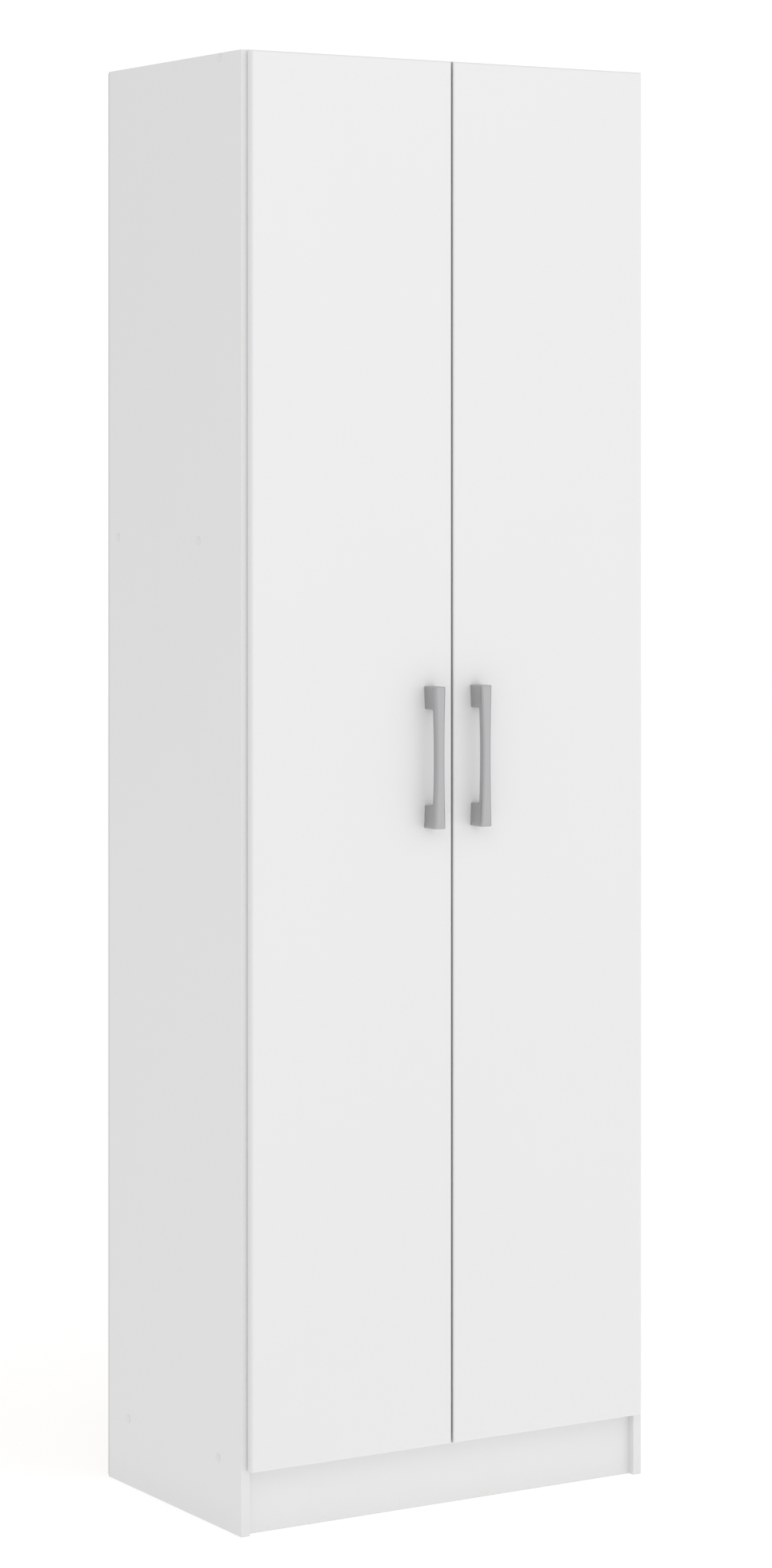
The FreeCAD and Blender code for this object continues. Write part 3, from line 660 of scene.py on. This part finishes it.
class CABINET_OT_handles(bpy.types.Operator):
    """Model the waisted bar handles with their square posts"""
    bl_idname = "cabinet.handles"
    bl_label = "Handles"

    def execute(self, context):
        left = self.model(context.scene.cabinet_sizes)
        shift = Matrix.Translation((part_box("right_handle")[0].x - HANDLE_LOW.x, 0, 0))
        right = copied(left, "right_handle_bar", shift)
        place(left, "left_door", "handle_metal", "handle_metal", "left_handle")
        place(right, "right_door", "handle_metal", "handle_metal", "right_handle")
        return {"FINISHED"}

    def model(self, sizes):
        low, high = HANDLE_LOW, HANDLE_HIGH
        door_face = DOOR_LOW.y
        front = low.y
        middle = (low + high) / 2
        foot = low.z + sizes.handle_post
        head = high.z - sizes.handle_post
        bar_back = front + sizes.handle_bow + sizes.handle_bar
        bar = block("left_handle_bar", (low.x, front + sizes.handle_bow, low.z), (high.x, bar_back, foot))
        edit(bar)
        for rise in (head - foot, high.z - head):
            pick(bar, "FACE", lambda centre, normal: normal.z > FACING)
            bpy.ops.mesh.extrude_region_move(TRANSFORM_OT_translate={"value": (0, 0, rise)})
        pick(bar, "EDGE", lambda centre, run: abs(run.z) > FACING and foot < centre.z < head)
        bpy.ops.mesh.subdivide(number_cuts=HANDLE_BAR_RINGS)
        pick(bar, "EDGE", lambda centre, run: abs(run.z) > FACING and not foot < centre.z < head)
        bpy.ops.mesh.subdivide(number_cuts=HANDLE_POST_RINGS)
        self.draw_in(bar, sizes, middle, (high.z - low.z) / 2, high.x - low.x)
        pick(bar, "FACE", lambda centre, normal: normal.y > FACING and not foot < centre.z < head)
        bpy.ops.mesh.extrude_region_move(TRANSFORM_OT_translate={"value": (0, HANDLE_POST_REACH, 0)})
        bpy.ops.transform.resize(value=(1, 0, 1), center_override=(middle.x, door_face, middle.z))
        pick(bar, "EDGE", lambda centre, run: abs(run.x) > FACING
             and min(abs(centre.z - foot), abs(centre.z - head)) < TOUCH
             and abs(centre.y - bar_back) < HANDLE_CROOK_BAND)
        bpy.ops.mesh.bevel(offset=sizes.handle_crook, segments=5, affect="EDGES")
        pick(bar, "EDGE", lambda centre, run: abs(run.z) > FACING and centre.y < front + HANDLE_EDGE_BAND)
        bpy.ops.mesh.bevel(offset=sizes.handle_crown, segments=7, affect="EDGES")
        bpy.ops.mesh.select_all(action="SELECT")
        bpy.ops.mesh.normals_make_consistent(inside=False)
        done()
        return rounded(bar, sizes.handle_edge, 3, 50.0)

    def draw_in(self, bar, sizes, middle, half, width):
        """Waists and bows the bar, ring by ring."""
        mesh = bmesh.from_edit_mesh(bar.data)
        levels = sorted({round(vert.co.z, 6) for vert in mesh.verts})
        for level in levels:
            share = 1.0 - min(1.0, abs(level - middle.z) / half) ** 2
            narrow = 1.0 - share * (1.0 - sizes.handle_waist / width)
            pick(bar, "VERT", lambda centre, normal: abs(centre.z - level) < TOUCH)
            bpy.ops.transform.resize(value=(narrow, 1, 1), center_override=(middle.x, middle.y, level))
            bpy.ops.transform.translate(value=(0, -sizes.handle_bow * share, 0))


class CABINET_OT_hinges(bpy.types.Operator):
    """Round the pressed steel of the plates, arms, links and cups, and finish their pins"""
    bl_idname = "cabinet.hinges"
    bl_label = "Hinges"

    def execute(self, context):
        edge = context.scene.cabinet_sizes.stamped_edge
        for side in SIDES:
            self.soften(side, "hinge_plates", "carcass", edge)
            self.soften(side, "hinge_arms", "carcass", edge)
            self.soften(side, "hinge_links", side + "_links", edge)
            self.soften(side, "hinge_cups", side + "_door", edge * 0.6)
            for pins in ("_arm_pins", "_cup_pins"):
                dress(side + pins, "nickel_plate")
        return {"FINISHED"}

    def soften(self, side, node, body, edge):
        piece = rounded(merged_copy(side + "_" + node, side + "_pressed_" + node), edge, 2, 50.0)
        place(piece, body, "hinge_steel", "nickel_plate", side + "_" + node)


# node, body, way each screw runs from its head along (X, Y, Z), head radius, head height, shank radius
SCREW_FAMILIES = (
    ("left_hinge_plate_screws", "carcass", (-1, 0, 0), 3.5, 1.8, 1.75),
    ("right_hinge_plate_screws", "carcass", (1, 0, 0), 3.5, 1.8, 1.75),
    ("left_hinge_arm_screws", "carcass", (-1, 0, 0), 3.2, 1.8, 2.0),
    ("right_hinge_arm_screws", "carcass", (1, 0, 0), 3.2, 1.8, 2.0),
    ("left_cup_screws", "left_door", (0, -1, 0), 3.0, 1.2, 1.5),
    ("right_cup_screws", "right_door", (0, -1, 0), 3.0, 1.2, 1.5),
    ("left_handle_screws", "left_door", (0, -1, 0), 4.0, 2.2, 2.0),
    ("right_handle_screws", "right_door", (0, -1, 0), 4.0, 2.2, 2.0),
    ("plinth_block_screws", "carcass", (0, -1, 1), 3.5, 1.8, 1.75),
    ("wall_bracket_screws", "carcass", (0, 0, 1), 3.5, 1.8, 1.75),
)


class CABINET_OT_screws(bpy.types.Operator):
    """Model the pan-head screws with their cross recesses"""
    bl_idname = "cabinet.screws"
    bl_label = "Screws"

    def execute(self, context):
        for node, body, ways, *sizes in SCREW_FAMILIES:
            self.family(node, body, ways, *(size * MM for size in sizes))
        return {"FINISHED"}

    def family(self, node, body, ways, head_radius, head, shank):
        """Puts a copy of one screw wherever the frame has one."""
        screws, pattern = [], None
        for low, high in solids(node):
            size = high - low
            axis = max(range(3), key=lambda index: size[index])
            run = Vector((0, 0, 0))
            run[axis] = ways[axis]
            top = (low + high) / 2 - run * size[axis] / 2
            if pattern is None:
                pattern = self.model(head_radius, head, shank, size[axis])
            turn = Vector((0, 0, -1)).rotation_difference(run).to_matrix().to_4x4()
            spin = Matrix.Rotation(SCREW_SPIN * len(screws), 4, "Z")
            screws.append(copied(pattern, "screw", Matrix.Translation(top) @ turn @ spin))
        bpy.data.objects.remove(pattern)
        place(joined(node.replace("screws", "cross_head_screws"), screws), body, "zinc_screws", "zinc_plate", node)

    def model(self, head_radius, head, shank, length):
        """A screw with the top of its head at the origin, running down."""
        screw = drum("screw_pattern", head_radius, (0, 0, 0), (0, 0, -head), 24)
        edit(screw)
        pick(screw, "EDGE", lambda centre, run: centre.z > -TOUCH)
        bpy.ops.mesh.bevel(offset=head * 0.45, segments=3, affect="EDGES")
        pick(screw, "FACE", lambda centre, normal: normal.z < -FACING)
        bpy.ops.mesh.inset(thickness=head_radius - shank)
        for drop, share in ((length - head - 3 * shank, 1.0), (1.6 * shank, 0.8), (1.4 * shank, 0.12)):
            bpy.ops.mesh.extrude_region_move(TRANSFORM_OT_translate={"value": (0, 0, -drop)})
            bottom = min(vert.co.z for vert in bmesh.from_edit_mesh(screw.data).verts)
            bpy.ops.transform.resize(value=(share, share, 1), center_override=(0, 0, bottom))
        done()
        return cut(screw, self.recess(head_radius * CROSS_REACH, head_radius * CROSS_HALF, head * CROSS_DEPTH))

    def recess(self, reach, half, depth):
        """The cross that a driver bit leaves, narrower at its bottom."""
        wings = [block("recess", (-reach, -half, -depth), (reach, half, depth)),
                 block("recess", (-half, -reach, -depth), (half, reach, depth))]
        cross = cut(wings[0], wings[1], "UNION")
        edit(cross)
        pick(cross, "VERT", lambda centre, normal: centre.z < 0)
        bpy.ops.transform.resize(value=(CROSS_TAPER, CROSS_TAPER, 1), center_override=(0, 0, 0))
        done()
        return cross


class CABINET_OT_fittings(bpy.types.Operator):
    """Finish the caps, corner blocks, wall brackets, shelf pins, nails, assembly screws and bumpers"""
    bl_idname = "cabinet.fittings"
    bl_label = "Fittings"

    def execute(self, context):
        sizes = context.scene.cabinet_sizes
        blocks = rounded(merged_copy("plinth_blocks", "corner_blocks"), sizes.moulded_edge, 2, 30.0)
        place(blocks, "carcass", "white_plastic", "white_plastic", "plinth_blocks")
        brackets = rounded(merged_copy("wall_brackets", "bent_wall_brackets"), sizes.stamped_edge, 2, 50.0)
        place(brackets, "carcass", "zinc_screws", "zinc_plate", "wall_brackets")
        for level in LEVELS:
            pins = rounded(merged_copy(level + "_shelf_pins", level + "_spoon_pins"), sizes.stamped_edge, 2, 50.0)
            place(pins, "carcass", "zinc_screws", "zinc_plate", level + "_shelf_pins")
        caps = rounded(merged_copy("screw_cover_caps", "pressed_caps"), CAP_EDGE, 2, 30.0)
        place(caps, "carcass", "white_plastic", "cap_film", "screw_cover_caps")
        dress("back_panel_nails", "zinc_plate")
        dress("assembly_screws", "zinc_plate")
        for side in SIDES:
            self.bumpers(side)
        return {"FINISHED"}

    def bumpers(self, side):
        """Domed soft pads, one pattern copied to each place."""
        pads = []
        for low, high in solids(side + "_door_bumpers"):
            centre = (low + high) / 2
            if not pads:
                pattern = self.pad((high.x - low.x) / 2, high.y - low.y)
            pads.append(copied(pattern, "pad", Matrix.Translation((centre.x, low.y, centre.z))))
        bpy.data.objects.remove(pattern)
        place(joined(side + "_domed_bumpers", pads), side + "_door", "bumper_pad", "bumper_pad",
              side + "_door_bumpers")

    def pad(self, radius, height):
        """A dome with its flat back at the origin, facing +Y."""
        pad = drum("pad_pattern", radius, (0, 0, 0), (0, height * PAD_RIM, 0), 32)
        edit(pad)
        pick(pad, "FACE", lambda centre, normal: normal.y > FACING)
        for share, rise in PAD_STEPS:
            bpy.ops.mesh.extrude_region_move(TRANSFORM_OT_translate={"value": (0, height * rise, 0)})
            bpy.ops.transform.resize(value=(share, 1, share), center_override=(0, 0, 0))
        done()
        return pad


class CABINET_OT_stage(bpy.types.Operator):
    """Make the plain floor, the soft light and the camera"""
    bl_idname = "cabinet.stage"
    bl_label = "Stage"

    def execute(self, context):
        settings = context.scene.cabinet_stage
        self.floor(settings)
        self.light(context, settings)
        self.camera(context, settings)
        return {"FINISHED"}

    def floor(self, settings):
        deselect()
        bpy.ops.mesh.primitive_plane_add(size=FLOOR_SIZE, location=(0, 0, -FLOOR_DROP))
        floor = added("floor")
        paint = Paint("pale_floor", Roughness=0.8, Emission_Color=(1.0, 1.0, 1.0, 1.0),
                      Emission_Strength=FLOOR_GLOW)
        paint.feed("Base Color", paint.shade(rgba(settings.floor), 0.99 + paint.noise(3.0) * 0.02))
        floor.data.materials.append(paint.material)

    def light(self, context, settings):
        scene = context.scene
        scene.view_settings.view_transform = "Standard"
        scene.world = bpy.data.worlds.new("studio")
        scene.world.use_nodes = True
        nodes = NodeMaker(scene.world.node_tree)
        seen = nodes.node("ShaderNodeLightPath", {}, {}, "Is Camera Ray")
        strength = nodes.node("ShaderNodeMath", {"operation": "MULTIPLY_ADD"},
                              [seen, settings.backdrop - settings.sky, settings.sky])
        background = nodes.tree.nodes["Background"]
        background.inputs["Color"].default_value = (1.0, 1.0, 1.0, 1.0)
        nodes.tree.links.new(strength.socket, background.inputs["Strength"])
        self.softbox("key_light", KEY_PLACE, KEY_WIDTH, settings.key_power)
        self.softbox("fill_light", FILL_PLACE, FILL_WIDTH, settings.fill_power)

    def softbox(self, name, place, width, power):
        """A square soft light turned to the middle of the cabinet."""
        bpy.ops.object.light_add(type="AREA", location=place)
        light = bpy.context.active_object
        light.name = name
        light.data.size = width
        light.data.energy = power
        light.rotation_euler = (Vector(LIGHT_AIM) - light.location).to_track_quat("-Z", "Y").to_euler()

    def camera(self, context, settings):
        bpy.ops.object.camera_add(location=settings.camera_place, rotation=(math.pi / 2, 0, -settings.camera_turn))
        camera = context.active_object
        camera.name = "camera"
        camera.data.lens = settings.lens
        camera.data.shift_y = settings.rise
        camera.data.clip_end = CAMERA_REACH
        context.scene.camera = camera


PIECES = (CABINET_OT_boards, CABINET_OT_doors, CABINET_OT_handles, CABINET_OT_hinges, CABINET_OT_screws,
          CABINET_OT_fittings, CABINET_OT_stage)


class CABINET_PT_sidebar(bpy.types.Panel):
    """Lists the cabinet's pieces in the 3D view's sidebar"""
    bl_label = "Pantry cabinet"
    bl_idname = "CABINET_PT_sidebar"
    bl_space_type = "VIEW_3D"
    bl_region_type = "UI"
    bl_category = "Cabinet"

    def draw(self, context):
        for group in (context.scene.cabinet_colours, context.scene.cabinet_sizes, context.scene.cabinet_stage):
            for name in group.__annotations__:
                self.layout.prop(group, name)
        for operator in PIECES:
            self.layout.operator(operator.bl_idname)


GROUPS = {"cabinet_colours": CabinetColours, "cabinet_sizes": CabinetSizes, "cabinet_stage": CabinetStage}


def register():
    for group in (*GROUPS.values(), *PIECES, CABINET_PT_sidebar):
        bpy.utils.register_class(group)
    for name, group in GROUPS.items():
        setattr(bpy.types.Scene, name, bpy.props.PointerProperty(type=group))


def unregister():
    for name in GROUPS:
        delattr(bpy.types.Scene, name)
    for group in reversed((*GROUPS.values(), *PIECES, CABINET_PT_sidebar)):
        bpy.utils.unregister_class(group)


def main():
    register()
    bpy.ops.cabinet.boards()
    bpy.ops.cabinet.doors()
    bpy.ops.cabinet.handles()
    bpy.ops.cabinet.hinges()
    bpy.ops.cabinet.screws()
    bpy.ops.cabinet.fittings()
    bpy.ops.cabinet.stage()


if __name__ == "__main__":
    main()
